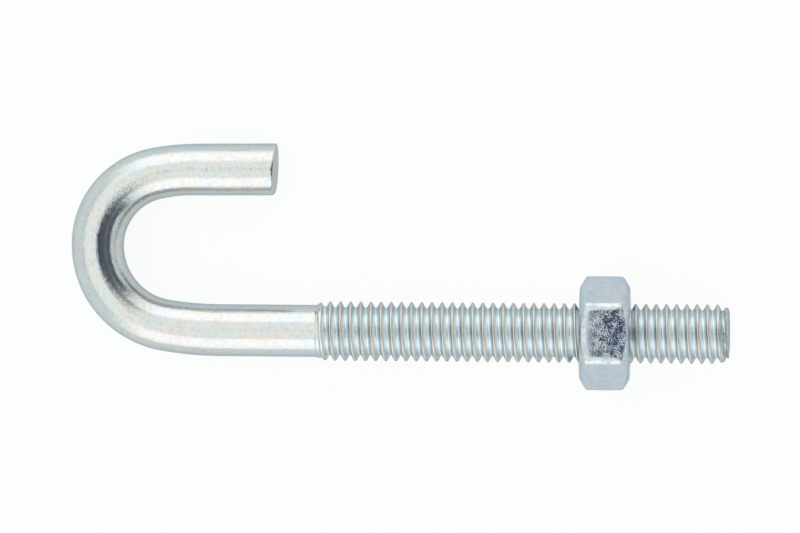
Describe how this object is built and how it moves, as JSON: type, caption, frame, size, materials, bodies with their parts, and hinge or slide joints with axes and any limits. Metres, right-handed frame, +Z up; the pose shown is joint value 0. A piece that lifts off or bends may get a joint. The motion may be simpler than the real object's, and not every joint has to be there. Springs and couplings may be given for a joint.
{
  "type": "hook bolt",
  "caption": "J-shaped hook bolt: a bent rod with a rolled metric thread on its straight leg and one hexagon nut on the thread.",
  "frame": {"origin": "on the surface that the bolt lies on, below the middle of its bounding box", "axes": "+X from the bend towards the threaded end, +Y from the shank towards the hook's arm, +Z up"},
  "size_m": [0.0648, 0.024, 0.0101],
  "materials": {
    "plated_rod": "bright zinc plate, clear passivated",
    "plated_nut": "bright zinc plate, blue passivated"
  },
  "bodies": {
    "bolt": {"hook_bolt": "plated_rod"},
    "nut": {"hex_nut": "plated_nut"}
  },
  "joints": [
    {"name": "nut_travel", "type": "slide", "parent": "bolt", "child": "nut", "axis": [0.9987, 0, 0.0502], "range_m": [-0.024, 0.014]}
  ]
}
